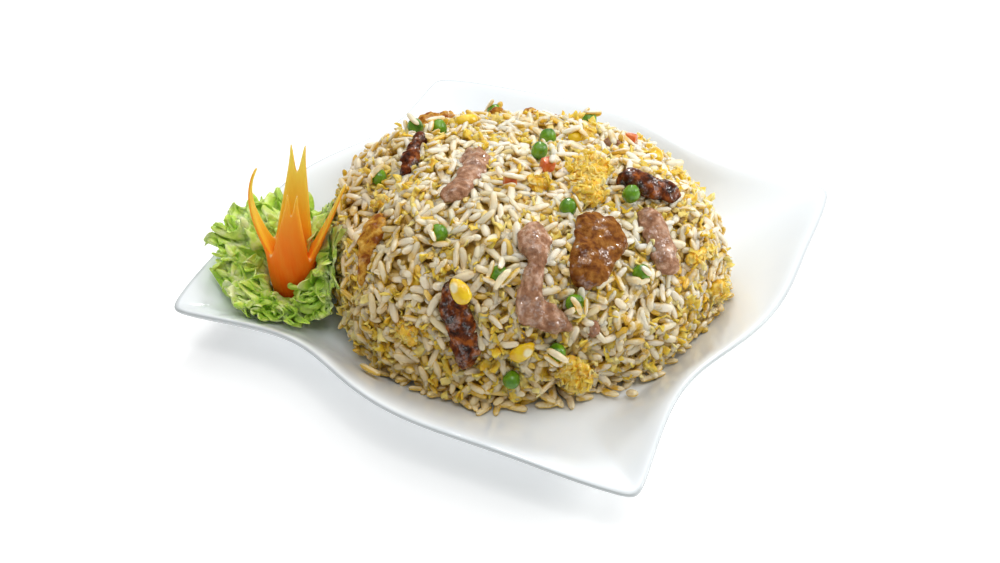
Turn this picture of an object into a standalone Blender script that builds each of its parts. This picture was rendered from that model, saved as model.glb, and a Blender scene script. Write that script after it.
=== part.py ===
"""Fried rice with beef, pork, egg, peas, corn and carrot, heaped on a wavy square plate, with a frilly
lettuce leaf and a carved carrot flower beside the heap.

Metres, +Z up. The origin is the middle of the plate's foot, on the table. The plate's tips lie on the X and Y
axes, and the garnish is at the tip on -X.
"""

import math
import random

import bmesh
import bpy
from mathutils import Matrix, Vector, kdtree, noise

# Plate: a square whose sides swing in and then out, so that it turns like a pinwheel.
HALF_DIAGONAL = 0.1315
HALF_SIDE = HALF_DIAGONAL / math.sqrt(2)
SIDE_LENGTH = 2 * HALF_SIDE
# Half-waves along a side, and their depths as shares of its length.
SIDE_WAVES = ((1, 0.019), (2, -0.031), (3, -0.015), (5, 0.005))
TIP_SHARPNESS = 60  # a higher power gives a sharper tip
FLOOR_RADIUS = 0.070  # towards the middle of a side
FLOOR_CORNER = 0.078  # towards a tip
FLOOR_TOP = 0.0075
TIP_HEIGHT = 0.0231
SIDE_LIFT = 0.0037  # how much higher the rim is at the middle of a side than at a tip
WALL = 0.0042
LIP = 0.0038
WALL_FILLET = 0.3  # share of the wall's width that curves up from the floor
FOOT_OUTER = 0.056
FOOT_INNER = 0.048
FOOT_HEIGHT = 0.003
FOOT_DRAFT = 0.001
UNDERSIDE_DISH = 0.0015
SIDE_STEPS = 20
CROWDING = 0.55  # how far those steps are moved towards the tips

# Heap of rice: a rounded bowlful, turned out on the plate's floor.
HEAP_RADIUS = 0.0727
HEAP_HEIGHT = 0.0545
HEAP_SQUARENESS = 3.1  # 2 is an ellipsoid, and more gives a flatter top and steeper sides
HEAP_SLOPE = 0.0112  # how much lower the heap's top is towards one side, and higher towards the other
HEAP_LOW_AZIMUTH = 51.0
HEAP_GAP = 0.0008
HEAP_LUMP = 0.0022
HEAP_LUMP_SIZE = 0.026
HEAP_LUMP_SHIFT = (3.1, 7.7, 1.9)
HEAP_BASE = Vector((0, 0, FLOOR_TOP))
SPILL_AZIMUTH = -30.0  # where rice has slid out at the foot
SPILL_REACH = 0.007
SPILL_WIDTH = 16.0
GARNISH_AZIMUTH = 177.0  # where the garnish presses into the heap
GARNISH_PRESS = 0.0050
GARNISH_WIDTH = 20.0
HEAP_RINGS = 36
HEAP_SECTORS = 4  # each ring has this many points more than the one inside it
SOLE_INSET = 0.07
GRAIN_LENGTH = 0.0085
GRAIN_WIDTH = 0.0042
GRAIN_RELIEF = 0.0022
GRAIN_COUNT = 800
GRAIN_SEED = 11

# Toppings lie in shallow dents of the heap.
CLEARANCE = 0.0005
BARE_MARGIN = 0.0012
BARE_FADE = 0.0040
STRIP_SINK = 0.0015
PEA_DIAMETER = 0.0072
PEA_SINK = 0.0030
CORN_LENGTH = 0.0105
CORN_WIDTH = 0.0078
CORN_DEPTH = 0.0055
CORN_TAPER = 0.30
DICE_SIDE = 0.0048
DICE_EDGE = 0.12  # share of the side that each edge's cut takes
STRIP_CRAG_SIZE = 0.0048

# Garnish. The flower leans towards the heap. The leaf's edge is given every 45 degrees round the flower,
# from +X, as its reach in plan and its rise, in millimetres.
FLOWER_X = -0.0872
FLOWER_Y = 0.0045
FLOWER_LEAN = 8.5
FLOWER_LEAN_AZIMUTH = -15.0
FLOWER_BASE_RADIUS = 0.0055
FLOWER_RADIUS = 0.0096
FLOWER_WALL = 0.0022
FLOWER_NOTCH = 0.0215
LEAF_EDGE = ((20, 13), (33, 16), (35, 19), (28, 17), (22, 11), (19, 6), (20, 4), (19, 6))
# The flower's blades: the angle each faces, half its spread, its height above the notch, how it leans out,
# how far its tip curls out, and, where the tip is split in two, where the split starts and each tip's offset.
BLADES = (
    (255, 52, 0.031, -0.04, 0.000, 0.75, 0.18),
    (345, 38, 0.034, 0.26, 0.000, None, 0.0),
    (75, 52, 0.042, -0.03, 0.000, 0.72, 0.28),
    (165, 38, 0.037, 0.41, -0.012, None, 0.0),
)
BLADE_STEPS = 7
LEAF_CLEARANCE = 0.0022
LEAF_THICKNESS = 0.0010
LEAF_FLAT = 0.0075
LEAF_OFF_HEAP = 0.0046
LEAF_AROUND = 60
LEAF_RINGS = 6
LEAF_FRILLS = 12
LEAF_FRILL_DEPTH = 0.0034

# Places on the heap are (azimuth, tilt) in degrees: azimuth turns from +X towards +Y, and tilt is measured from
# straight up, at the middle of the heap's base. Widths and thicknesses are in millimetres.
STRIPS = {
    "pork_long": (((-97, 37), (-99, 40), (-100, 44), (-100, 47), (-101, 50), (-102, 54), (-104, 57), (-102, 60),
                   (-98, 62), (-94, 64), (-91, 66)), (10, 14, 13, 8, 6, 9, 12, 11, 9, 8, 5), 5.5),
    "pork_tip": (((-87, 68), (-84, 66)), (4, 4), 4.0),
    "pork_left": (((154, 19), (173, 15), (202, 19), (213, 25), (215, 30), (213, 34)),
                  (7, 13, 11, 9, 12, 8), 4.5),
    "pork_right": (((-48, 45), (-50, 49), (-53, 53), (-55, 58), (-56, 63)), (9, 11, 12, 12, 8), 6.0),
    "pork_back": (((19, 42), (9, 44)), (5, 5), 4.0),
    "beef_slice": (((-66, 40), (-70, 43), (-74, 46), (-80, 49), (-84, 52), (-87, 56)),
                   (13, 20, 21, 16, 17, 9), 5.5),
    "beef_front": (((-127, 54), (-124, 57), (-123, 62), (-121, 67), (-120, 72), (-120, 77)),
                   (8, 11, 12, 11, 11, 6), 6.5),
    "beef_right": (((-37, 35), (-36, 40), (-35, 45), (-31, 51)), (8, 11, 11, 6), 7.0),
    "beef_left": (((136, 37), (151, 35), (164, 36), (174, 40)), (3, 6, 7, 4), 5.0),
    "strip_left": (((192, 49), (198, 52), (200, 56), (203, 60), (204, 65)), (8, 11, 9, 6, 4), 5.5),
    "strip_back_left": (((119, 53), (112, 52), (106, 52), (99, 52)), (5, 7, 8, 6), 5.0),
    "strip_back": (((86, 52), (79, 53)), (6, 7), 5.0),
    "strip_back_right": (((71, 53), (64, 54)), (5, 5), 4.5),
    "egg_top": (((-8, 29), (-26, 27), (-47, 28), (-60, 32), (-66, 35)), (10, 16, 15, 12, 6), 4.5),
    "egg_foot": (((-94, 74), (-91, 79), (-88, 84)), (7, 12, 11), 5.0),
    "egg_spill": (((-41, 77), (-34, 81)), (8, 8), 4.5),
    "egg_right": (((-48, 63), (-41, 65), (-34, 68)), (5, 6, 4), 4.0),
    "egg_left": (((181, 50), (191, 44)), (6, 6), 4.0),
    "egg_low_left": (((-141, 70), (-135, 73)), (8, 8), 4.0),
    "egg_back": (((36, 44), (28, 43)), (6, 6), 4.0),
    "egg_back_right": (((-14, 54), (-6, 56)), (5, 5), 4.0),
    "egg_middle": (((-93, 23), (-81, 20)), (7, 8), 5.0),
    "pork_rear": (((70, 64), (61, 67), (53, 65)), (6, 9, 6), 5.0),
    "beef_rear": (((107, 67), (99, 70), (92, 73)), (7, 10, 7), 6.0),
    "egg_rear": (((30, 64), (22, 67)), (9, 8), 4.5),
}
PEAS = ((42, 24), (4, 9), (-79, 34), (-48, 41), (-112, 51), (-90, 59), (-96, 71), (-108, 79), (126, 46),
        (123, 38), (168, 46), (224, 44), (-66, 58), (44, 57), (82, 63), (121, 71))
PEA_ON_BEEF = 3  # this pea leans on the edge of the beef at the right
PEA_RAISED = 0.0025
# Of a kernel and of a die, the third number is its turn.
CORN = ((-121, 55, 40), (104, 39, 107), (28, 34, 174), (2, 52, 241), (-105, 70, 308), (40, 74, 15))
CORN_ON_BEEF = 0  # this kernel lies on top of the beef strip at the front
DICE = ((-50, 13, 25), (-113, 21, 65), (17, 51, 105))

WHITE = (0.86, 0.89, 0.90)
RICE = (0.78, 0.73, 0.58)
PORK = (0.66, 0.45, 0.38)
BEEF = (0.22, 0.09, 0.04)
BROWNED = (0.55, 0.33, 0.12)
EGG = (0.86, 0.62, 0.12)
PEA = (0.14, 0.42, 0.04)
YELLOW = (0.88, 0.62, 0.05)
CARROT = (0.85, 0.24, 0.03)
LEAF = (0.32, 0.58, 0.08)
MM = 0.001
# The strips' colour, roughness, and how rough their tops are, by the first word of their names.
STRIP_LOOKS = {"pork": (PORK, 0.38, 0.0007), "beef": (BEEF, 0.30, 0.0012), "strip": (BROWNED, 0.40, 0.0007),
               "egg": (EGG, 0.42, 0.0020)}


def clear_scene():
    for obj in list(bpy.data.objects):
        bpy.data.objects.remove(obj)


def material(name, colour, roughness):
    made = bpy.data.materials.new(name)
    made.use_nodes = True
    shader = made.node_tree.nodes["Principled BSDF"]
    shader.inputs["Base Color"].default_value = (*colour, 1.0)
    shader.inputs["Roughness"].default_value = roughness
    shader.inputs["Metallic"].default_value = 0.0
    return made


def object_from(name, bm, colour, roughness, smooth_angle=50):
    """One object with its own material, from a closed mesh whose faces are turned outwards here."""
    bmesh.ops.recalc_face_normals(bm, faces=bm.faces)
    mesh = bpy.data.meshes.new(name)
    bm.to_mesh(mesh)
    bm.free()
    mesh.shade_smooth()
    mesh.set_sharp_from_angle(angle=math.radians(smooth_angle))
    mesh.materials.append(material(name, colour, roughness))
    obj = bpy.data.objects.new(name, mesh)
    bpy.context.scene.collection.objects.link(obj)
    return obj


def smoothstep(low, high, value):
    share = min(1.0, max(0.0, (value - low) / (high - low)))
    return share * share * (3 - 2 * share)


def join_rings(bm, lower, upper):
    """A band of quads between two closed rings with as many points as each other."""
    count = len(lower)
    for i in range(count):
        after = (i + 1) % count
        bm.faces.new((lower[i], lower[after], upper[after], upper[i]))


def close_ring(bm, ring, centre):
    """A fan from a closed ring to a new point at its middle."""
    middle = bm.verts.new(centre)
    for i in range(len(ring)):
        bm.faces.new((ring[i], ring[(i + 1) % len(ring)], middle))


def side_share(angle, side):
    """How far along that side of the square a ray at this angle crosses it: 0 at one tip and 1 at the other."""
    turn = angle - math.radians(45 + 90 * side)
    turn = (turn + math.pi) % (2 * math.pi) - math.pi
    turn = min(1.2, max(-1.2, turn))
    return (1 + math.tan(turn)) / 2, math.cos(turn)


def side_swing(share):
    """How far the side stands out from the straight line between its tips."""
    along = min(1.1, max(-0.1, share))
    return SIDE_LENGTH * sum(depth * math.sin(waves * math.pi * along) for waves, depth in SIDE_WAVES)


def rim_radius(angle):
    """Distance from the middle to the rim. The two nearest sides are blended, which rounds the tips."""
    nearest = math.floor(math.degrees(angle) / 90)
    total = 0.0
    for side in (nearest - 1, nearest, nearest + 1):
        share, cosine = side_share(angle, side)
        total += (cosine / (HALF_SIDE + side_swing(share))) ** TIP_SHARPNESS
    return total ** (-1 / TIP_SHARPNESS)


def rim_height(angle):
    share, _ = side_share(angle, math.floor(math.degrees(angle) / 90))
    return TIP_HEIGHT + SIDE_LIFT * math.sin(math.pi * share)


def floor_radius(angle):
    return FLOOR_RADIUS + (FLOOR_CORNER - FLOOR_RADIUS) * math.cos(2 * angle) ** 2


def wall_rise(share):
    """The wall's height as a share of its full height: a fillet out of the floor, then straight."""
    if share <= 0:
        return 0.0
    slope = 1 / (1 - WALL_FILLET / 2)
    if share < WALL_FILLET:
        return slope * share * share / (2 * WALL_FILLET)
    return slope * (min(share, 1.0) - WALL_FILLET / 2)


def plate_top(x, y):
    """Height of the plate's upper face at a point in plan."""
    angle = math.atan2(y, x)
    inner = floor_radius(angle)
    share = (math.hypot(x, y) - inner) / (rim_radius(angle) - inner)
    return FLOOR_TOP + (rim_height(angle) - FLOOR_TOP) * wall_rise(share)


def around_plate():
    """Angles round the plate: close together near the tips, where the outline turns sharply."""
    angles = []
    for side in range(4):
        for step in range(SIDE_STEPS):
            even = step / SIDE_STEPS
            crowded = (1 - math.cos(math.pi * even)) / 2
            share = even + CROWDING * (crowded - even)
            angles.append(math.radians(45 + 90 * side) + math.atan(2 * share - 1))
    return angles


def build_plate():
    bm = bmesh.new()
    angles = around_plate()

    def ring(place):
        made = []
        for angle in angles:
            radius, height = place(angle)
            made.append(bm.verts.new((radius * math.cos(angle), radius * math.sin(angle), height)))
        return made

    def on_wall(share, drop=0.0):
        def place(angle):
            inner = floor_radius(angle)
            radius = inner + share * (rim_radius(angle) - LIP / 2 - inner)
            return radius, FLOOR_TOP + (rim_height(angle) - FLOOR_TOP) * wall_rise(share) - drop

        return place

    def on_lip(inset, drop):
        return lambda angle: (rim_radius(angle) - inset, rim_height(angle) - drop)

    def level(radius, height):
        return lambda angle: (radius, height)

    under = FLOOR_TOP - FOOT_HEIGHT
    places = [on_wall(share) for share in (0, 0.1, 0.25, 0.6, 1.0)]
    places += [on_lip(0, LIP / 2), on_lip(LIP / 2, LIP)]
    places += [on_wall(share, WALL) for share in (0.6, 0.2, 0)]
    places += [level(FOOT_OUTER + FOOT_DRAFT, under - UNDERSIDE_DISH), level(FOOT_OUTER, 0)]
    places += [level(FOOT_INNER, 0), level(FOOT_INNER - FOOT_DRAFT, under - UNDERSIDE_DISH)]
    rings = [ring(place) for place in places]
    for lower, upper in zip(rings, rings[1:]):
        join_rings(bm, lower, upper)
    close_ring(bm, rings[0], (0, 0, FLOOR_TOP))
    close_ring(bm, rings[-1], (0, 0, under - UNDERSIDE_DISH))
    return object_from("plate", bm, WHITE, 0.12)


def direction(azimuth, tilt):
    """Unit vector from the middle of the heap's base, both angles in degrees."""
    around, down = math.radians(azimuth), math.radians(tilt)
    return Vector((math.sin(down) * math.cos(around), math.sin(down) * math.sin(around), math.cos(down)))


def garnish_press(azimuth):
    """How far the garnish has pressed the heap in at this azimuth, in degrees."""
    turned = (azimuth - GARNISH_AZIMUTH + 180) % 360 - 180
    return GARNISH_PRESS * math.exp(-(turned / GARNISH_WIDTH) ** 2)


def heap_height(azimuth, flat):
    """The heap's height for a direction at this azimuth, and this far out from upright."""
    return HEAP_HEIGHT - HEAP_SLOPE * flat * math.cos(math.radians(azimuth - HEAP_LOW_AZIMUTH))


def core_point(towards):
    """The heap's bare core in that direction, with its broad lumps and the spill at its foot."""
    flat = math.hypot(towards.x, towards.y)
    up = max(0.0, towards.z)
    azimuth = math.degrees(math.atan2(towards.y, towards.x))
    top = heap_height(azimuth, flat)
    reach = (flat / HEAP_RADIUS) ** HEAP_SQUARENESS + (up / top) ** HEAP_SQUARENESS
    point = towards * reach ** (-1 / HEAP_SQUARENESS)
    lump = HEAP_LUMP * noise.noise(point / HEAP_LUMP_SIZE + Vector(HEAP_LUMP_SHIFT))
    away = (azimuth - SPILL_AZIMUTH) / SPILL_WIDTH
    spill = SPILL_REACH * math.exp(-away * away) * smoothstep(0.45, 0.98, flat)
    press = garnish_press(azimuth) * smoothstep(0.4, 0.8, flat)
    return HEAP_BASE + point + towards * (lump + spill - press)


def core_normal(towards):
    """Outward normal of the bare core there, from two nearby points."""
    aside = towards.orthogonal().normalized()
    other = towards.cross(aside)
    step = 0.02
    here = core_point(towards)
    first = core_point((towards + aside * step).normalized()) - here
    second = core_point((towards + other * step).normalized()) - here
    normal = first.cross(second).normalized()
    return normal if normal.dot(towards) > 0 else -normal


def along_path(places, share):
    """Direction at a share of the way through a list of places, turning smoothly at each."""
    points = [direction(*place) for place in places]
    points = [2 * points[0] - points[1], *points, 2 * points[-1] - points[-2]]
    spot = share * (len(places) - 1)
    first = min(int(spot), len(places) - 2)
    t = spot - first
    a, b, c, d = points[first:first + 4]
    mixed = 2 * b + (c - a) * t + (2 * a - 5 * b + 4 * c - d) * t * t + (3 * b - a - 3 * c + d) * t ** 3
    return mixed.normalized()


def along_widths(widths, share):
    spot = share * (len(widths) - 1)
    first = min(int(spot), len(widths) - 2)
    return (widths[first] + (widths[first + 1] - widths[first]) * (spot - first)) * MM


def strip_footprint(places, widths):
    """Discs (centre, radius, sink) that cover the strip's footprint on the bare core."""
    discs = []
    steps = 4 * (len(places) - 1)
    for i in range(steps + 1):
        share = i / steps
        centre = core_point(along_path(places, share))
        discs.append((centre, along_widths(widths, share) / 2, STRIP_SINK))
    return discs


def all_footprints():
    discs = []
    for places, widths, _ in STRIPS.values():
        discs += strip_footprint(places, widths)
    for place in PEAS:
        discs.append((core_point(direction(*place)), PEA_DIAMETER / 2, PEA_SINK))
    for azimuth, tilt, _ in CORN:
        discs.append((core_point(direction(azimuth, tilt)), CORN_WIDTH / 2, STRIP_SINK))
    for azimuth, tilt, _ in DICE:
        discs.append((core_point(direction(azimuth, tilt)), DICE_SIDE * 0.7, STRIP_SINK))
    return discs


def grain_layout(rng):
    """Where grains lie on the core and which way each points: spread evenly by the golden angle."""
    tree = kdtree.KDTree(GRAIN_COUNT)
    headings = []
    golden = math.pi * (3 - math.sqrt(5))
    for i in range(GRAIN_COUNT):
        tilt = math.degrees(math.acos(1 - (i + 0.5) / GRAIN_COUNT))
        towards = direction(math.degrees(i * golden) + rng.uniform(-2, 2), tilt)
        normal = core_normal(towards)
        tree.insert(core_point(towards), i)
        headings.append(Matrix.Rotation(rng.uniform(0, math.pi), 3, normal) @ normal.orthogonal().normalized())
    tree.balance()
    return tree, headings


def grain_relief(point, tree, headings):
    """How far the grains round a point lift the surface there."""
    best = 0.0
    for centre, i, _ in tree.find_range(point, GRAIN_LENGTH / 2):
        offset = point - centre
        along = offset.dot(headings[i]) / (GRAIN_LENGTH / 2)
        across = (offset - headings[i] * offset.dot(headings[i])).length / (GRAIN_WIDTH / 2)
        best = max(best, (1 - across * across) * (1 - along ** 4))
    return GRAIN_RELIEF * best


def build_rice():
    """The heap as one solid: bumps the size of grains, dents under the toppings, and a foot on the plate."""
    rng = random.Random(GRAIN_SEED)
    tree, headings = grain_layout(rng)
    discs = all_footprints()
    bm = bmesh.new()

    def surface(towards):
        point = core_point(towards)
        normal = core_normal(towards)
        bare, sink = 0.0, 0.0
        for centre, radius, depth in discs:
            away = (point - centre).length - radius
            if away < BARE_MARGIN + BARE_FADE:
                near = 1 - smoothstep(BARE_MARGIN, BARE_MARGIN + BARE_FADE, away)
                bare = max(bare, near)
                sink = max(sink, depth * near)
        lift = grain_relief(point, tree, headings) * (1 - bare) - sink
        point = point + normal * lift
        point.z = max(point.z, plate_top(point.x, point.y) + HEAP_GAP)
        return bm.verts.new(point)

    rings = [[surface(direction(0, 0))]]
    for k in range(1, HEAP_RINGS + 1):
        step = 360 / (HEAP_SECTORS * k)
        rings.append([surface(direction(step * i, 90 * k / HEAP_RINGS)) for i in range(HEAP_SECTORS * k)])
    for k in range(1, HEAP_RINGS + 1):
        inner, outer = rings[k - 1], rings[k]
        for sector in range(HEAP_SECTORS):
            for i in range(k):
                a = outer[sector * k + i]
                b = outer[(sector * k + i + 1) % len(outer)]
                c = inner[(sector * (k - 1) + i) % len(inner)]
                bm.faces.new((a, b, c))
                if i < k - 1:
                    bm.faces.new((b, inner[(sector * (k - 1) + i + 1) % len(inner)], c))
    foot = rings[-1]
    sole = []
    for vert in foot:
        x, y = vert.co.x * (1 - SOLE_INSET), vert.co.y * (1 - SOLE_INSET)
        sole.append(bm.verts.new((x, y, plate_top(x, y) + HEAP_GAP)))
    join_rings(bm, sole, foot)
    close_ring(bm, sole, (0, 0, FLOOR_TOP + HEAP_GAP))
    return object_from("rice", bm, RICE, 0.45)


def strip_row(towards, side, width, thickness, seed, crag):
    """Eight points round the strip's section: a bottom that follows the dent, and an arched craggy top."""
    centre = core_point(towards)
    columns = (-0.80, -0.28, 0.28, 0.80)
    row = []
    for column in columns:
        beside = (centre + side * column * width / 2 - HEAP_BASE).normalized()
        row.append(core_point(beside) + core_normal(beside) * (CLEARANCE - STRIP_SINK))
    for column, rise in ((1.0, 0.40), (0.52, 0.92), (-0.52, 0.92), (-1.0, 0.40)):
        beside = (centre + side * column * width / 2 - HEAP_BASE).normalized()
        base = core_point(beside)
        rough = crag * noise.noise(base / STRIP_CRAG_SIZE + Vector((seed, 0, column)))
        lift = CLEARANCE - STRIP_SINK + thickness * rise + max(-0.25 * thickness, rough)
        row.append(base + core_normal(beside) * lift)
    return row


def build_strip(name, places, widths, thickness_mm, colour, roughness, crag):
    bm = bmesh.new()
    stations = max(4, len(places) + 2)
    seed = sum(map(ord, name))
    rows = []
    for i in range(stations + 1):
        share = i / stations
        towards = along_path(places, share)
        ahead = along_path(places, min(1.0, share + 0.02)) - along_path(places, max(0.0, share - 0.02))
        side = core_normal(towards).cross(ahead).normalized()
        ending = min(1.0, 0.55 + 3.2 * min(share, 1 - share))
        width = along_widths(widths, share) * ending
        row = strip_row(towards, side, width, thickness_mm * MM * ending, seed, crag)
        rows.append([bm.verts.new(point) for point in row])
    for first, second in zip(rows, rows[1:]):
        join_rings(bm, first, second)
    for row in (rows[0], rows[-1]):
        close_ring(bm, row, sum((vert.co for vert in row), Vector()) / len(row))
    return object_from(name, bm, colour, roughness)


def build_strips():
    for name, (places, widths, thickness) in STRIPS.items():
        colour, roughness, crag = STRIP_LOOKS[name.split("_")[0]]
        build_strip(name, places, widths, thickness, colour, roughness, crag)


def set_down(obj, place, half_height, sink, turn=0.0, raised=0.0):
    """Places a piece made round its own origin on the heap, with its own +Z along the surface's normal."""
    towards = direction(*place)
    normal = core_normal(towards)
    centre = core_point(towards) + normal * (half_height + CLEARANCE - sink + raised)
    stand = normal.to_track_quat("Z", "Y").to_matrix().to_4x4()
    obj.matrix_world = Matrix.Translation(centre) @ stand @ Matrix.Rotation(math.radians(turn), 4, "Z")


def copies(first, count):
    """That many objects, numbered from 1, that share the first one's mesh."""
    made = [first]
    for number in range(2, count + 1):
        other = bpy.data.objects.new(f"{first.name[:-2]}_{number}", first.data)
        bpy.context.scene.collection.objects.link(other)
        made.append(other)
    return made


def build_peas():
    bm = bmesh.new()
    bmesh.ops.create_uvsphere(bm, u_segments=8, v_segments=5, radius=PEA_DIAMETER / 2)
    first = object_from("pea_1", bm, PEA, 0.25)
    for i, pea in enumerate(copies(first, len(PEAS))):
        raised = PEA_RAISED if i == PEA_ON_BEEF else 0.0
        set_down(pea, PEAS[i], PEA_DIAMETER / 2, PEA_SINK, raised=raised)


def build_corn():
    """A kernel is a flattened drop: wide and domed at one end, pinched where it left the cob."""
    bm = bmesh.new()
    bmesh.ops.create_icosphere(bm, subdivisions=2, radius=0.5)
    for vert in bm.verts:
        taper = 1 - CORN_TAPER * smoothstep(-0.5, 0.5, vert.co.y)
        vert.co = Vector((vert.co.x * CORN_WIDTH * taper, vert.co.y * CORN_LENGTH, vert.co.z * CORN_DEPTH))
    first = object_from("corn_1", bm, YELLOW, 0.25)
    on_beef = STRIPS["beef_front"][2] * MM + CLEARANCE
    for i, kernel in enumerate(copies(first, len(CORN))):
        place, turn = CORN[i][:2], CORN[i][2]
        set_down(kernel, place, CORN_DEPTH / 2, STRIP_SINK, turn, on_beef if i == CORN_ON_BEEF else 0.0)


def build_dice():
    bm = bmesh.new()
    bmesh.ops.create_cube(bm, size=DICE_SIDE)
    bmesh.ops.bevel(bm, geom=bm.edges[:], offset=DICE_SIDE * DICE_EDGE, segments=1, affect="EDGES")
    first = object_from("carrot_dice_1", bm, CARROT, 0.3)
    for (azimuth, tilt, turn), dice in zip(DICE, copies(first, len(DICE))):
        set_down(dice, (azimuth, tilt), DICE_SIDE / 2, STRIP_SINK, turn)


def between(table, angle, column):
    """A value from a table of evenly spaced angles, changing smoothly from row to row."""
    spot = math.degrees(angle) % 360 / (360 / len(table))
    first = int(spot) % len(table)
    share = smoothstep(0, 1, spot - int(spot))
    return (table[first][column] * (1 - share) + table[(first + 1) % len(table)][column] * share) * MM


def heap_outline(height, azimuth):
    """Radius of the smooth heap at a height above the plate's floor, near its foot."""
    share = min(1.0, max(0.0, height / heap_height(azimuth, 1.0)))
    return HEAP_RADIUS * (1 - share ** HEAP_SQUARENESS) ** (1 / HEAP_SQUARENESS)


def leaf_point(angle, share):
    """The leaf's middle surface: flat under the flower, then rising to its edge, and frilled more towards it.
    Where it would enter the heap it leans on the heap's side instead."""
    reach, rise = between(LEAF_EDGE, angle, 0), between(LEAF_EDGE, angle, 1)
    along = reach * share
    climb = max(0.0, along - LEAF_FLAT) / (reach - LEAF_FLAT)
    height = rise * climb ** 1.25
    slope = math.atan2(rise, reach - LEAF_FLAT)
    frill = LEAF_FRILL_DEPTH * smoothstep(0.25, 1.0, share)
    wave = math.sin(LEAF_FRILLS * angle + 1.4 * math.sin(2 * angle + 1)) * frill
    along -= wave * math.sin(slope)
    height += (wave + frill) * math.cos(slope)
    x = FLOWER_X + along * math.cos(angle)
    y = FLOWER_Y + along * math.sin(angle)
    z = plate_top(x, y) + LEAF_CLEARANCE + height
    from_axis = math.hypot(x, y)
    azimuth = math.degrees(math.atan2(y, x))
    outside = heap_outline(z - FLOOR_TOP, azimuth) + LEAF_OFF_HEAP - garnish_press(azimuth)
    if from_axis < outside:
        x, y = x * outside / from_axis, y * outside / from_axis
        z = max(z, plate_top(x, y) + LEAF_CLEARANCE)
    return Vector((x, y, z))


def build_leaf():
    """A thin wavy sheet with triangles alike on both faces, thickened on both sides of its middle surface."""
    bm = bmesh.new()
    centre = bm.verts.new(leaf_point(0, 0))
    rings = []
    for k in range(1, LEAF_RINGS + 1):
        share = k / LEAF_RINGS
        turns = (2 * math.pi * i / LEAF_AROUND for i in range(LEAF_AROUND))
        rings.append([bm.verts.new(leaf_point(turn, share)) for turn in turns])
    for i in range(LEAF_AROUND):
        bm.faces.new((rings[0][i], rings[0][(i + 1) % LEAF_AROUND], centre))
    for inner, outer in zip(rings, rings[1:]):
        join_rings(bm, inner, outer)
    bmesh.ops.triangulate(bm, faces=bm.faces[:])
    leaf = object_from("lettuce", bm, LEAF, 0.45)
    solidify = leaf.modifiers.new("Thickness", "SOLIDIFY")
    solidify.thickness = LEAF_THICKNESS
    solidify.offset = 0.0
    return leaf


def blade_columns(share, split, tip):
    """Where the blade's four columns stand across it at a share of its height, from -1 to 1."""
    edge = tip + (1 - tip) * (1 - share) ** 1.2
    if split is None:
        return -edge, -edge / 3, edge / 3, edge
    if share <= split:
        inner = edge / 3 * (1 - 0.8 * share / split)
    else:
        inner = 0.03 + (tip - 0.03) * (share - split) / (1 - split)
    edge = max(edge, inner + 0.05)
    return -edge, -inner, inner, edge


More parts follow.
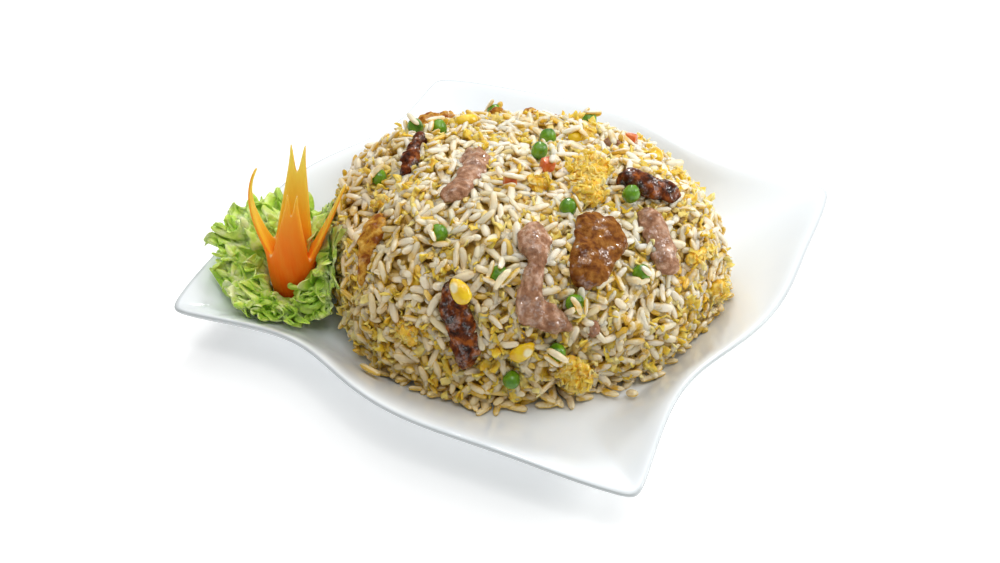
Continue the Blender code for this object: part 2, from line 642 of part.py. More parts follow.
def build_flower():
    """A carrot stub, hollowed from above and cut down into four pointed blades that share its thin wall."""
    bm = bmesh.new()
    facings = []
    for facing, spread, *_ in BLADES:
        facings += [facing + spread * share for share in (-1, -1 / 3, 1 / 3)]
    turns = [math.radians(angle) for angle in facings]
    count = len(turns)

    def level(radius, height):
        return [bm.verts.new((radius * math.cos(a), radius * math.sin(a), height)) for a in turns]

    inner_radius = FLOWER_RADIUS - FLOWER_WALL
    outer = [level(FLOWER_BASE_RADIUS, 0), level(FLOWER_RADIUS * 0.88, FLOWER_NOTCH * 0.5)]
    outer.append(level(FLOWER_RADIUS, FLOWER_NOTCH))
    inner = [level(inner_radius, FLOWER_NOTCH), level(inner_radius * 0.6, FLOWER_NOTCH * 0.6)]
    join_rings(bm, outer[0], outer[1])
    join_rings(bm, outer[1], outer[2])
    join_rings(bm, inner[0], inner[1])
    close_ring(bm, outer[0], (0, 0, 0))
    close_ring(bm, inner[1], (0, 0, FLOWER_NOTCH * 0.55))
    for number, (facing, spread, height, lean, curl, split, tip) in enumerate(BLADES):
        columns = [(3 * number + i) % count for i in range(4)]
        outwards = Vector((math.cos(math.radians(facing)), math.sin(math.radians(facing)), 0))
        across = Vector((-outwards.y, outwards.x, 0))
        last_out, last_in = [outer[2][c] for c in columns], [inner[0][c] for c in columns]
        joined = True
        for step in range(1, BLADE_STEPS + 1):
            share = step / BLADE_STEPS
            shift = outwards * (lean * height * share + curl * share ** 3)
            shift += Vector((0, 0, FLOWER_NOTCH + height * share))
            this_out, this_in = [], []
            for column in blade_columns(share, split, tip):
                turn = math.radians(spread) * column
                spot = outwards * math.cos(turn) + across * math.sin(turn)
                thin = FLOWER_WALL * (1 - 0.6 * share)
                this_out.append(bm.verts.new(spot * FLOWER_RADIUS + shift))
                this_in.append(bm.verts.new(spot * (FLOWER_RADIUS - thin) + shift))
            parts = ((0, 1), (2, 3)) if split is not None and share > split else ((0, 1, 2, 3),)
            if len(parts) == 2 and joined:
                bm.faces.new((last_out[1], last_out[2], last_in[2], last_in[1]))
                joined = False
            for part in parts:
                first, last = part[0], part[-1]
                for i in part[:-1]:
                    bm.faces.new((last_out[i], last_out[i + 1], this_out[i + 1], this_out[i]))
                    bm.faces.new((last_in[i + 1], last_in[i], this_in[i], this_in[i + 1]))
                bm.faces.new((last_in[first], last_out[first], this_out[first], this_in[first]))
                bm.faces.new((last_out[last], last_in[last], this_in[last], this_out[last]))
            last_out, last_in = this_out, this_in
        for part in parts:
            bm.faces.new([last_out[i] for i in part] + [last_in[i] for i in reversed(part)])
    flower = object_from("carrot_flower", bm, CARROT, 0.35, smooth_angle=35)
    stands = plate_top(FLOWER_X, FLOWER_Y) + 2 * LEAF_CLEARANCE + LEAF_THICKNESS
    lean_axis = direction(FLOWER_LEAN_AZIMUTH + 90, 90)
    leaning = Matrix.Rotation(math.radians(FLOWER_LEAN), 4, lean_axis)
    flower.matrix_world = Matrix.Translation((FLOWER_X, FLOWER_Y, stands)) @ leaning


def main():
    clear_scene()
    build_plate()
    build_rice()
    build_strips()
    build_peas()
    build_corn()
    build_dice()
    build_leaf()
    build_flower()


main()
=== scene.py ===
# %% [markdown]
# # A plate of fried rice
#
# This lesson dresses a plain model of a plated meal: a bowlful of fried rice turned out on a wavy
# white plate, with beef, pork, scrambled egg, peas, corn and carrot on it, and a lettuce leaf
# with a carved carrot flower beside it. The plain model gives every piece its place and size.
# Here each piece gets the surface that the real food has. The plain model is loaded first.

# %% Load the plain model
import math
import random

import bpy
from mathutils import Matrix, Vector, noise
from mathutils.bvhtree import BVHTree


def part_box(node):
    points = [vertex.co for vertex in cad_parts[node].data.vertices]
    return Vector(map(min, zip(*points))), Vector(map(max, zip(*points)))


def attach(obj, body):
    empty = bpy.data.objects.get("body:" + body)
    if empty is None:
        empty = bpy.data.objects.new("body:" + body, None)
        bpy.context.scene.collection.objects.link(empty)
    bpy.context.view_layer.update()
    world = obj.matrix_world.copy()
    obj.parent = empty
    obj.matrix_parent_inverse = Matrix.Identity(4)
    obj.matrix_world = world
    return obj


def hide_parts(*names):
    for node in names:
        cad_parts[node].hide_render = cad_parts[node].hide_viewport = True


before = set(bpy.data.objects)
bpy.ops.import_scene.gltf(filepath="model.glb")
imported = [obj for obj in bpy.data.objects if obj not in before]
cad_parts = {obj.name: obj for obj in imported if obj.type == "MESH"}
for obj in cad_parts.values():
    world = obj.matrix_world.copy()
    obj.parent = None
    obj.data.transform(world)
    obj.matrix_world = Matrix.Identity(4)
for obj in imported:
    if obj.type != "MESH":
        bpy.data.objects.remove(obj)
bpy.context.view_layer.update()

MM = 0.001
NOISE_SEED = 11
ORIGIN = (0, 0, 0)
noise.seed_set(NOISE_SEED)


# %% [markdown]
# ## Camera
#
# The photograph looks down at the plate from its front, a little from the left. A camera can be
# placed by eye, but here four numbers were measured from the plate's tips: the direction, the
# tilt, the roll and the lens. The camera looks at a point just in front of the plate's middle, so
# that the frame falls as it does in the photograph.

# %% Place the camera
CAMERA_AZIMUTH = math.radians(-15.2)
CAMERA_ELEVATION = math.radians(39.5)
CAMERA_ROLL = math.radians(-0.98)
CAMERA_DISTANCE = 0.4737
CAMERA_LENS = 44.8
LOOKS_AT = Vector((-0.0091, -0.0072, 0.0118))

backwards = Vector((
    math.sin(CAMERA_AZIMUTH) * math.cos(CAMERA_ELEVATION),
    -math.cos(CAMERA_AZIMUTH) * math.cos(CAMERA_ELEVATION),
    math.sin(CAMERA_ELEVATION),
))
bpy.ops.object.camera_add(location=LOOKS_AT + backwards * CAMERA_DISTANCE)
camera = bpy.context.object
turned = backwards.to_track_quat("Z", "Y").to_matrix() @ Matrix.Rotation(CAMERA_ROLL, 3, "Z")
camera.rotation_euler = turned.to_euler()
camera.data.lens = CAMERA_LENS
camera.data.sensor_width = 36
camera.data.clip_start = 0.01
bpy.context.scene.camera = camera
print("camera at", tuple(round(c, 3) for c in camera.location))

# %% [markdown]
# ## Light
#
# The photograph has the light of a food studio: a wide soft box overhead, so that the plate and
# the top of the heap are bright and the heap's sides fall off, a box at the right, and two small
# lamps, behind and in front, that draw glints on all that is wet. A dim world fills the rest.
# Each lamp is turned to look at the plate's middle.

# %% Light the plate
WORLD_STRENGTH = 0.28
LIGHTS = (  # name, place, width and power
    ("overhead_box", (0.05, 0.06, 0.95), 1.2, 6.3),
    ("right_box", (0.60, -0.12, 0.38), 0.3, 2.0),
    ("back_lamp", (0.25, 0.60, 0.60), 0.12, 2.2),
    ("front_lamp", (0.05, -0.38, 0.85), 0.15, 0.8),
)
world = bpy.data.worlds.new("studio")
bpy.context.scene.world = world
world.use_nodes = True
world.node_tree.nodes["Background"].inputs["Color"].default_value = (1.0, 0.99, 0.97, 1)
world.node_tree.nodes["Background"].inputs["Strength"].default_value = WORLD_STRENGTH
for light_name, place, width, power in LIGHTS:
    bpy.ops.object.light_add(type="AREA", location=place)
    light = bpy.context.object
    light.name = light_name
    light.rotation_euler = Vector(place).to_track_quat("Z", "Y").to_euler()
    light.data.size = width
    light.data.energy = power
bpy.context.scene.view_settings.view_transform = "Standard"
print("placed", len(LIGHTS), "lights")

# %% [markdown]
# ## Helpers for pieces
#
# A few helpers serve almost every piece. One makes a piece the only one that is selected, since
# Blender's operators act on all that is selected. One starts a piece from a copy of a plain node:
# the copy is joined up and its triangles are paired into quads, so that it can be subdivided. One
# pushes its surface in and out, since food is never smooth. Marks are numbers that the points of
# a piece carry, for its finish to read. The last helper gives a piece its finish, sets it on the
# plate and hides the plain nodes it replaces.

# %% Helpers for pieces
def choose(piece):
    """Makes this the only selected piece, and the active one."""
    bpy.ops.object.select_all(action="DESELECT")
    piece.select_set(True)
    bpy.context.view_layer.objects.active = piece


def edit(piece, *steps):
    """Runs each step in edit mode with the whole mesh selected."""
    choose(piece)
    bpy.ops.object.mode_set(mode="EDIT")
    for step in steps:
        bpy.ops.mesh.select_all(action="SELECT")
        step()
    bpy.ops.object.mode_set(mode="OBJECT")


def new_piece(name, mesh):
    piece = bpy.data.objects.new(name, mesh.copy())
    bpy.context.scene.collection.objects.link(piece)
    return piece


def copy_of(node, name):
    """A new piece with the shape of a plain node, its triangles joined up and paired into quads."""
    piece = new_piece(name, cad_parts[node].data)
    piece.data.materials.clear()
    edit(
        piece,
        lambda: bpy.ops.mesh.remove_doubles(threshold=1e-6),
        lambda: bpy.ops.mesh.tris_convert_to_quads(),
    )
    return piece


def apply_modifier(piece, kind, **settings):
    """Adds a modifier with these settings and applies it."""
    choose(piece)
    modifier = piece.modifiers.new(kind.lower(), kind)
    for key, value in settings.items():
        setattr(modifier, key, value)
    bpy.ops.object.modifier_apply(modifier=modifier.name)


def smooth(piece, degrees=60):
    choose(piece)
    bpy.ops.object.shade_smooth_by_angle(angle=math.radians(degrees))


def subdivide(piece, levels):
    apply_modifier(piece, "SUBSURF", levels=levels, render_levels=levels)


def bend_piece(piece, axis, degrees):
    angle = math.radians(degrees)
    apply_modifier(piece, "SIMPLE_DEFORM", deform_method="BEND", deform_axis=axis, angle=angle)


def roughen(piece, size, depth, seed=0.0):
    """Pushes the surface in and out by a cloud pattern with lumps of this size."""
    clouds = bpy.data.textures.new(piece.name + "_clouds", "CLOUDS")
    clouds.noise_scale = size
    clouds.noise_depth = 2
    anchor = bpy.data.objects.new("cloud_anchor", None)
    anchor.location = (seed, -seed, seed * 0.5)
    bpy.context.scene.collection.objects.link(anchor)
    bpy.context.view_layer.update()
    apply_modifier(
        piece, "DISPLACE", texture=clouds, strength=depth,
        texture_coords="OBJECT", texture_coords_object=anchor,
    )
    bpy.data.objects.remove(anchor)


def write_marks(piece, name, value_at):
    """Gives each point of the piece a number under this name, from its place and normal."""
    marks = piece.data.attributes.new(name, "FLOAT", "POINT")
    for vertex in piece.data.vertices:
        marks.data[vertex.index].value = value_at(vertex.co, vertex.normal)


def dress(piece, finish, slot, *nodes):
    """Gives the piece its finish, makes it ride on the plate, and hides the nodes it replaces."""
    piece.data.materials.clear()
    piece.data.materials.append(finish)
    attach(piece, "root")
    if nodes:
        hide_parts(*nodes)
    print(piece.name, len(piece.data.polygons), "faces")


# %% [markdown]
# ## Helpers for finishes
#
# Real food is never one flat colour. Every finish here starts from a plain shader and adds two
# things: a mottle, which mixes colours by a noise pattern, and a relief, which tilts the surface
# a little so that light breaks up on it. Both read the object's own coordinates, in metres, so a
# pattern's size is given as a real size.

# %% Helpers for finishes
def new_finish(
    name, colour, roughness, specular=0.5, coat=0.0, coat_roughness=0.1, scatter=0.0, reach=0.002
):
    """A plain shader. Scatter is the share of light that goes in and comes out within reach."""
    finish = bpy.data.materials.new(name)
    finish.use_nodes = True
    settings = {
        "Base Color": (*colour, 1),
        "Roughness": roughness,
        "Specular IOR Level": specular,
        "Coat Weight": coat,
        "Coat Roughness": coat_roughness,
        "Subsurface Weight": scatter,
        "Subsurface Scale": reach,
        "Subsurface Radius": (1.0, 0.85, 0.65),
    }
    for key, value in settings.items():
        shader_of(finish).inputs[key].default_value = value
    return finish


def add_node(finish, kind, **inputs):
    node = finish.node_tree.nodes.new(kind)
    for key, value in inputs.items():
        node.inputs[key.replace("_", " ")].default_value = value
    return node


def link(finish, output, target):
    finish.node_tree.links.new(output, target)


def shader_of(finish):
    return finish.node_tree.nodes["Principled BSDF"]


def pattern(finish, size, detail=4.0, stretch=(1, 1, 1), distortion=0.0):
    """Noise from 0 to 1 with lumps of this size in metres. Stretch makes them longer."""
    place = add_node(finish, "ShaderNodeTexCoord")
    mapping = add_node(finish, "ShaderNodeMapping", Scale=[1 / s for s in stretch])
    lumps = add_node(
        finish, "ShaderNodeTexNoise", Scale=1 / size, Detail=detail, Distortion=distortion
    )
    link(finish, place.outputs["Object"], mapping.inputs["Vector"])
    link(finish, mapping.outputs["Vector"], lumps.inputs["Vector"])
    return lumps.outputs["Fac"]


def read_marks(finish, name):
    """The numbers that the points of the piece carry under this name."""
    marks = add_node(finish, "ShaderNodeAttribute")
    marks.attribute_name = name
    return marks.outputs["Fac"]


def blend_colours(finish, share, colours):
    """A ramp through (position, colour) pairs, by a share from 0 to 1."""
    ramp = finish.node_tree.nodes.new("ShaderNodeValToRGB")
    for element, (position, colour) in zip(ramp.color_ramp.elements, colours):
        element.position = position
        element.color = (*colour, 1)
    for position, colour in colours[2:]:
        ramp.color_ramp.elements.new(position).color = (*colour, 1)
    link(finish, share, ramp.inputs["Fac"])
    return ramp.outputs["Color"]


def mix(finish, share, first, second):
    """The first colour where the share is 0, and the second where it is 1."""
    mixer = finish.node_tree.nodes.new("ShaderNodeMix")
    mixer.data_type = "RGBA"
    link(finish, share, mixer.inputs["Factor"])
    for colour, socket in ((first, mixer.inputs[6]), (second, mixer.inputs[7])):
        if isinstance(colour, tuple):
            socket.default_value = (*colour, 1)
        else:
            link(finish, colour, socket)
    return mixer.outputs[2]


def remap(finish, value, low, high, to_low=0.0, to_high=1.0):
    """The value's range from low to high, stretched to another range."""
    ranged = add_node(finish, "ShaderNodeMapRange")
    ends = {"From Min": low, "From Max": high, "To Min": to_low, "To Max": to_high}
    for key, number in ends.items():
        ranged.inputs[key].default_value = number
    link(finish, value, ranged.inputs["Value"])
    return ranged.outputs["Result"]


def relief(finish, size, depth, detail=4.0, stretch=(1, 1, 1)):
    """Tilts the surface by a noise pattern as deep as this, in metres."""
    bump = add_node(finish, "ShaderNodeBump", Distance=depth)
    link(finish, pattern(finish, size, detail, stretch), bump.inputs["Height"])
    link(finish, bump.outputs["Normal"], shader_of(finish).inputs["Normal"])


def colour_by(finish, colour):
    link(finish, colour, shader_of(finish).inputs["Base Color"])


def uneven_gloss(finish, size, low, high):
    roughness = remap(finish, pattern(finish, size), 0.3, 0.7, low, high)
    link(finish, roughness, shader_of(finish).inputs["Roughness"])


# %% [markdown]
# ## Plate
#
# The plate is glazed white porcelain, cast as a square whose sides swing in and out. Its form is
# already right in the plain model, so a copy of it is subdivided until its rim runs smoothly. The
# glaze is glossy and a little blue, with slow changes of thickness that show as a soft wave in
# its reflections. The lip of the rim, where it turns outwards, gets a grey of painted shade.

# %% Plate
# The grey below is painted shade on the outward-turned lip of the rim.
LIP_SHADE = (0.56, 0.60, 0.61)
RIM_LOWEST = 0.010
porcelain = new_finish("porcelain_glaze", (0.85, 0.89, 0.92), 0.16, coat=0.2, coat_roughness=0.08)
glaze = blend_colours(porcelain, pattern(porcelain, 0.05), (
    (0.35, (0.85, 0.905, 0.95)),
    (0.65, (0.88, 0.93, 0.965)),
))
# The rim mark mixes the painted shade of the lip into the glaze colour.
colour_by(porcelain, mix(porcelain, read_marks(porcelain, "rim"), glaze, LIP_SHADE))
relief(porcelain, 0.03, 0.0002, detail=1.0)
uneven_gloss(porcelain, 0.02, 0.12, 0.20)
plate = copy_of("plate", "plate_porcelain")
subdivide(plate, 2)
smooth(plate)


def lip_shade_share(place, normal):
    """The share of painted shade: full where the lip of the rim turns outwards, and nothing on the
    foot.
    """
    turned_out = normal.dot(Vector((place.x, place.y, 0)).normalized())
    share = min(1.0, max(0.0, (turned_out + 0.05) / 0.45))
    return share * (place.z > RIM_LOWEST)


write_marks(plate, "rim", lip_shade_share)
dress(plate, porcelain, "plate", "plate")

# %% [markdown]
# ## What lies where
#
# Grains must not push up through a pea or cut through the plate. A search tree over the toppings
# gives the distance from any point to the nearest one, and another over the plate gives the
# height of its surface below a point.

# %% Search trees
TOPPING_WORDS = ("beef", "pork", "strip", "egg", "pea", "corn", "carrot_dice")
toppings = sorted(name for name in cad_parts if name.startswith(TOPPING_WORDS))


def tree_of(names):
    points, faces = [], []
    for name in names:
        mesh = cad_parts[name].data
        first = len(points)
        points += [vertex.co.copy() for vertex in mesh.vertices]
        faces += [[first + index for index in face.vertices] for face in mesh.polygons]
    return BVHTree.FromPolygons(points, faces)


heap_middle = (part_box("rice")[0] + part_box("rice")[1]) / 2
topping_tree = tree_of(toppings)
plate_tree = tree_of(["plate"])
rice_tree = tree_of(["rice"])


def plate_height(x, y):
    hit = plate_tree.ray_cast(Vector((x, y, 0.2)), Vector((0, 0, -1)))[0]
    return hit.z if hit else 0.0


def ease(low, high, value):
    """A share that rises smoothly from 0 to 1 as the value goes from low to high."""
    share = min(1.0, max(0.0, (value - low) / (high - low)))
    return share * share * (3 - 2 * share)


print(len(toppings), "toppings in the search tree")

# %% [markdown]
# ## Rice, the core
#
# Under the loose grains the heap is a sticky mass of clumps. A copy of the plain heap is
# smoothed, drawn in to leave room for the loose grains, and pushed in and out by clumps the size
# of a thumbnail. Its colour is the warm brown gold that shows in the gaps: partly the oil and egg
# that have gathered there, partly painted shade between the grains.

# %% Rice core
CORE_INSET = 0.0024
CLUMP_SIZE = 0.012
CLUMP_DEPTH = 0.0040
PLATE_GAP = (0.0006, 0.0012)  # each pair is where a share starts and where it is full
TOPPING_GAP = (0.0008, 0.0024)
COLLAR_STARTS = (0.0001, 0.0008)
COLLAR_ENDS = (0.0036, 0.0022)
IN_FRONT = (0.050, 0.035)
# The core's warm gold is partly oil and egg, partly painted shade for the gaps between grains.
core_finish = new_finish("packed_rice", (0.66, 0.44, 0.09), 0.45, scatter=0.2)
colour_by(core_finish, blend_colours(core_finish, pattern(core_finish, 0.004), (
    (0.32, (0.42, 0.21, 0.015)),
    (0.52, (0.62, 0.38, 0.05)),
    (0.72, (0.74, 0.54, 0.17)),
)))
relief(core_finish, 0.003, 0.001)
core = copy_of("rice", "rice_core")
edit(
    core,
    lambda: bpy.ops.mesh.vertices_smooth(factor=0.5, repeat=3),
    lambda: bpy.ops.transform.shrink_fatten(value=-CORE_INSET),
)
subdivide(core, 1)
roughen(core, CLUMP_SIZE, CLUMP_DEPTH, seed=0.4)
smooth(core)


def add_weight(surface, name, weigh):
    """A vertex group whose weights come from a function of each vertex's place and normal."""
    group = surface.vertex_groups.new(name=name)
    for vertex in surface.data.vertices:
        group.add([vertex.index], weigh(vertex.co, vertex.normal), "REPLACE")


def above_plate(place):
    return ease(*PLATE_GAP, place.z - plate_height(place.x, place.y))


def topping_distance(place):
    return topping_tree.find_nearest(place)[3]


def room_at(place, normal):
    """How freely grains may lie here: none under a topping, nor on the heap's underside."""
    return ease(*TOPPING_GAP, topping_distance(place)) * above_plate(place) * (normal.z > -0.5)


def collar_at(place, normal):
    """Full right beside a topping, where grains are heaped against it and over its edge."""
    distance = topping_distance(place)
    in_front = ease(*IN_FRONT, place.y) * (normal.z > -0.2)
    beside = ease(*COLLAR_STARTS, distance) * ease(*COLLAR_ENDS, distance)
    return beside * above_plate(place) * in_front


add_weight(core, "room", room_at)
add_weight(core, "collar", collar_at)
print("core", len(core.data.vertices), "points")

# %% [markdown]
# ## Rice, the grains
#
# A cooked long grain is about 8 mm long and 3 mm thick, with round ends, and slightly bent. It
# starts as a small sphere that is drawn out along its length. Then its two halves are pulled
# apart, which makes the ends blunter, and a modifier bends it. Four grains, whole, bent, plump
# and broken, are enough, because each copy also gets its own size and turn. Marks say which side
# of a grain is under it, where the finish puts golden oil and painted shade.

# %% Grain models
GRAINS = (  # length and width in millimetres, and bend in degrees
    ("whole_grain", 9.0, 2.7, 14),
    ("bent_grain", 8.8, 2.6, 42),
    ("plump_grain", 7.8, 3.1, 18),
    ("broken_grain", 5.2, 2.9, 6),
)
GRAIN_BLUNTNESS = 0.45
GRAIN_FLATTENING = 0.78


def make_grain(name, length, width, bend):
    bpy.ops.object.select_all(action="DESELECT")
    bpy.ops.mesh.primitive_uv_sphere_add(
        segments=7, ring_count=6, radius=width / 2 * MM, location=ORIGIN
    )
    grain = bpy.context.object
    grain.name = name
    pull = GRAIN_BLUNTNESS * (length - width)
    draw = (length - pull) / width
    edit(
        grain,
        lambda: bpy.ops.transform.rotate(
            value=math.pi / 2, orient_axis="Y", center_override=ORIGIN
        ),
        lambda: bpy.ops.transform.resize(value=(draw, 1, GRAIN_FLATTENING), center_override=ORIGIN),
    )
    for vertex in grain.data.vertices:
        if abs(vertex.co.x) > 0.1 * width * MM:
            vertex.co.x += math.copysign(pull / 2 * MM, vertex.co.x)
    bend_piece(grain, "Z", bend)
    bpy.ops.object.shade_smooth()
    # The under mark says where the finish puts golden oil and painted shade on a grain's underside.
    write_marks(grain, "under", lambda place, normal: ease(0.35, -0.65, normal.z))
    return grain


grains = [make_grain(*size) for size in GRAINS]
print("a grain has", len(grains[0].data.polygons), "faces")

# %% [markdown]
# ## A scatter that ends as one mesh
#
# Thousands of grains could be placed by a loop, but Geometry Nodes does it at once and keeps them
# apart. Points are spread over a surface at least one spacing apart, where a weight allows them.
# Each gets one of the models, laid on the surface with a random tilt, size and tone. Its heading
# follows a slow noise, so that neighbours lie side by side in bunches, as cooked rice does. The
# copies are then made real, so that one mesh is left.

# %% Scatter helper
BUNCH_SIZE = 0.010


def scatter(
    name, surface, models, weight, spacing, seed, tilt, lift, sizes=(0.85, 1.15), loose=0.7
):
    """Copies of the models over a surface, as one new mesh with a tone from 0 to 1 on each copy.
    Loose is how far a heading may stray from its bunch, in half turns."""
    piece = new_piece(name, surface.data)
    for group in surface.vertex_groups:
        piece.vertex_groups.new(name=group.name)
    tree = bpy.data.node_groups.new(name + "_scatter", "GeometryNodeTree")
    tree.interface.new_socket("Geometry", in_out="INPUT", socket_type="NodeSocketGeometry")
    tree.interface.new_socket("Geometry", in_out="OUTPUT", socket_type="NodeSocketGeometry")

    def node(kind, inputs=None, **settings):
        made = tree.nodes.new(kind)
        for key, value in settings.items():
            setattr(made, key, value)
        for key, value in (inputs or {}).items():
            made.inputs[key].default_value = value
        return made

    def join(output, target):
        tree.links.new(output, target)

    def number(low, high, seed_shift):
        inputs = {2: low, 3: high, "Seed": seed + seed_shift}
        return node("FunctionNodeRandomValue", inputs, data_type="FLOAT").outputs[1]

    source = node("NodeGroupInput")
    result = node("NodeGroupOutput")
    allowed = node("GeometryNodeInputNamedAttribute", {"Name": weight}, data_type="FLOAT")
    spread = {"Distance Min": spacing, "Density Max": 3 / spacing ** 2, "Seed": seed}
    points = node("GeometryNodeDistributePointsOnFaces", spread, distribute_method="POISSON")
    join(source.outputs[0], points.inputs["Mesh"])
    join(allowed.outputs["Attribute"], points.inputs["Density Factor"])

    raised = node("GeometryNodeSetPosition")
    along = node("ShaderNodeVectorMath", operation="SCALE")
    join(points.outputs["Normal"], along.inputs[0])
    join(number(*lift, 1), along.inputs["Scale"])
    join(points.outputs["Points"], raised.inputs["Geometry"])
    join(along.outputs[0], raised.inputs["Offset"])

    toned = node(
        "GeometryNodeStoreNamedAttribute", {"Name": "tone"}, data_type="FLOAT", domain="POINT"
    )
    join(number(0, 1, 2), toned.inputs["Value"])
    join(raised.outputs[0], toned.inputs["Geometry"])

    bunch = node("ShaderNodeTexNoise", {"Scale": 1 / BUNCH_SIZE, "Detail": 0.0})
    heading = node("ShaderNodeMath", {1: 6 * math.pi}, operation="MULTIPLY_ADD")
    join(node("GeometryNodeInputPosition").outputs[0], bunch.inputs["Vector"])
    join(bunch.outputs["Fac"], heading.inputs[0])
    join(number(-loose * math.pi, loose * math.pi, 3), heading.inputs[2])
    turn = node("ShaderNodeCombineXYZ")
    limit = math.radians(tilt)
    join(number(-limit, limit, 4), turn.inputs["X"])
    join(number(-limit, limit, 5), turn.inputs["Y"])
    spin = node("ShaderNodeCombineXYZ")
    join(heading.outputs[0], spin.inputs["Z"])
    facing = points.outputs["Rotation"]
    for angles in (spin, turn):
        as_turn = node("FunctionNodeEulerToRotation")
        join(angles.outputs[0], as_turn.inputs[0])
        turned = node("FunctionNodeRotateRotation", rotation_space="LOCAL")
        join(facing, turned.inputs[0])
        join(as_turn.outputs[0], turned.inputs[1])
        facing = turned.outputs[0]

    choice = node("GeometryNodeJoinGeometry")
    for model in reversed(models):
        info = node("GeometryNodeObjectInfo", {"Object": model, "As Instance": True})
        join(info.outputs["Geometry"], choice.inputs[0])
    picks = {4: 0, 5: len(models) - 1, "Seed": seed + 7}
    which = node("FunctionNodeRandomValue", picks, data_type="INT")

    placed = node("GeometryNodeInstanceOnPoints", {"Pick Instance": True})
    join(toned.outputs[0], placed.inputs["Points"])
    join(choice.outputs[0], placed.inputs["Instance"])
    join(which.outputs[2], placed.inputs["Instance Index"])
    join(facing, placed.inputs["Rotation"])
    join(number(*sizes, 6), placed.inputs["Scale"])
    real = node("GeometryNodeRealizeInstances")
    join(placed.outputs[0], real.inputs[0])
    join(real.outputs[0], result.inputs[0])

    apply_modifier(piece, "NODES", node_group=tree)
    bpy.data.node_groups.remove(tree)
    piece.vertex_groups.clear()
    return piece


# %% [markdown]
# ## Rice finishes
#
# A cooked grain is milky and wet: light goes in and comes out warm, and a thin film of oil shines
# on top. The grains on top are nearly white, those below them are golden, partly with oil and
# partly with painted shade, and some are golden with egg. The tone that each copy got says how
# warm it is. A noise says where the golden film lies, and it thins towards the top of the heap,
# partly as less sauce and partly as painted light. More gold is added low on the heap, partly as
# sauce that runs down and partly as painted shade; on its left side, away from the right-hand
# light, as painted shade; and under each grain, as oil and painted shade.

# %% Rice finishes
def place_share(finish, axis, low, high, to_low=0.0, to_high=1.0):
    """A share that changes along an axis, from one place in metres to another."""
    place = add_node(finish, "ShaderNodeTexCoord")
    parts = add_node(finish, "ShaderNodeSeparateXYZ")
    link(finish, place.outputs["Object"], parts.inputs[0])
    return remap(finish, parts.outputs[axis], low, high, to_low, to_high)


def combine(finish, operation, first, second):
    """Adds or multiplies two values, kept between 0 and 1."""
    combined = add_node(finish, "ShaderNodeMath")
    combined.operation = operation
    combined.use_clamp = True
    link(finish, first, combined.inputs[0])
    link(finish, second, combined.inputs[1])
    return combined.outputs[0]


# How much golden oil and painted shade goes under each grain.
OIL_AND_SHADE_UNDER = 0.90


def rice_finish(name, pale, warm, golden, gold_from):
    finish = new_finish(
        name, pale, 0.32, coat=0.6, coat_roughness=0.06, scatter=1.0, reach=0.0035
    )
    shader_of(finish).subsurface_method = "BURLEY"
    body = mix(finish, read_marks(finish, "tone"), pale, warm)
    film = remap(finish, pattern(finish, 0.0065, detail=3.0), gold_from, gold_from + 0.14)
    # The film thins towards the top: partly less sauce, partly painted light on the top of the
    # heap.
    film = combine(finish, "MULTIPLY", film, place_share(finish, "Z", 0.045, 0.070, 0.9, 0.3))
    # Under each grain: golden oil and painted shade.
    under = remap(finish, read_marks(finish, "under"), 0.0, 1.0, 0.0, OIL_AND_SHADE_UNDER)
    # Low on the heap: partly sauce that runs down, partly painted shade where the sides turn from
    # the light.
    low = place_share(finish, "Z", 0.014, 0.064, 0.34, 0.0)
    # On the left side, away from the right-hand light: painted shade.
    left = place_share(finish, "X", -0.065, 0.030, 0.26, 0.0)
    share = low
    for more in (left, film, under):
        share = combine(finish, "ADD", share, more)
    colour_by(finish, mix(finish, share, body, golden))
    relief(finish, 0.0012, 0.0002)
    return finish


# The deep rice is darker and more golden: partly oil, partly painted shade below the upper grains.
RICE_COLOURS = (  # name, the pale, the warm and the golden colour, and where the film starts
    ("plain_rice", (0.88, 0.86, 0.76), (0.83, 0.77, 0.56), (0.64, 0.40, 0.035), 0.54),
    ("deep_rice", (0.72, 0.56, 0.24), (0.64, 0.43, 0.10), (0.40, 0.21, 0.010), 0.48),
    ("egged_rice", (0.90, 0.74, 0.34), (0.88, 0.62, 0.13), (0.78, 0.46, 0.02), 0.44),
)
plain_rice, deep_rice, egged_rice = (rice_finish(*colours) for colours in RICE_COLOURS)

# %% [markdown]
# ## Spreading the grains
#
# One layer of grains would look like tiles. Three layers are laid over the core: a close one that
# covers it, a looser one whose grains stand at steeper angles, and single grains on top of both.
# A thin one carries the golden grains. Then grains are heaped against the toppings, so that
# nothing looks set down on top of the rice.

# %% Grain layers
LAYERS = (  # name, finish, weight, spacing in mm, seed, tilt in degrees and lift in mm
    ("rice_grains_lower", deep_rice, "room", 3.0, 3, 25, (0.2, 1.4)),
    ("rice_grains_upper", plain_rice, "room", 3.15, 17, 30, (1.4, 2.8)),
    ("rice_grains_loose", plain_rice, "room", 4.6, 23, 38, (2.6, 3.8)),
    ("rice_grains_golden", egged_rice, "room", 5.0, 29, 30, (0.8, 2.6)),
    ("rice_grains_collar", plain_rice, "collar", 2.8, 37, 32, (2.0, 4.2)),
)
for name, finish, weight, spacing, seed, tilt, lift in LAYERS:
    lift = [mm * MM for mm in lift]
    layer = scatter(name, core, grains, weight, spacing * MM, seed, tilt, lift)
    dress(layer, finish, "rice", "rice")
dress(core, core_finish, "rice", "rice")

# %% [markdown]
# ## Half buried toppings
#
# Stirring a pan of rice buries most of the peas. The plain model holds each one whole, near the
# surface. Here grains are laid over the ones that the photograph hides: all over some, and over
# one side of the others.

